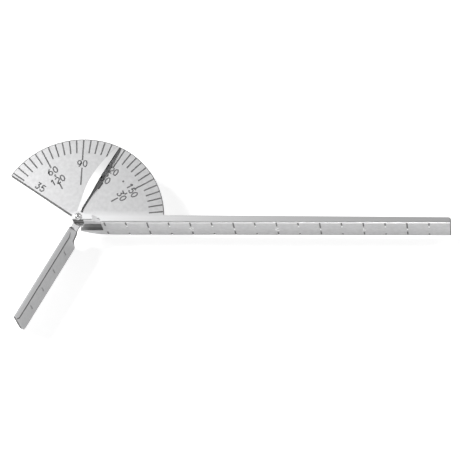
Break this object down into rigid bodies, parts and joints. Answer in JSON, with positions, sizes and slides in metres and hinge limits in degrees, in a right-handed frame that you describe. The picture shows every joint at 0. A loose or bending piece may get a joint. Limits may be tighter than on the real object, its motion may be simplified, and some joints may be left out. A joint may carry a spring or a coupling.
{
  "type": "finger goniometer",
  "caption": "Folded sheet-metal finger goniometer: an engraved dial sector on a ruler arm, with a short finger arm and bowed pointer turning on a rivet.",
  "frame": {"origin": "centre of the rest pose's bounding box, at its lowest level, which is the far edge of the finger arm's web", "axes": "+Z points out of the dial's front, +X runs along the ruler arm to its free end, +Y goes from the ruler arm towards the dial's arc"},
  "size_m": [0.1304, 0.0564, 0.0149],
  "materials": {
    "satin_steel": "satin, fine bead marks",
    "spring_steel": "satin, slightly brighter",
    "rivet_steel": "polished"
  },
  "bodies": {
    "ruler_side": {"protractor_arm": "satin_steel"},
    "finger_side": {"short_arm": "satin_steel", "pointer": "spring_steel", "pivot_rivet": "rivet_steel", "spring_washer": "spring_steel", "tail_washer": "rivet_steel"}
  },
  "joints": [
    {"name": "pivot_hinge", "type": "hinge", "parent": "ruler_side", "child": "finger_side", "pos_m": [-0.04405, 0.00287, 0.0122], "axis": [0, 0, 1], "range_deg": [-62.44, 82.56]}
  ]
}
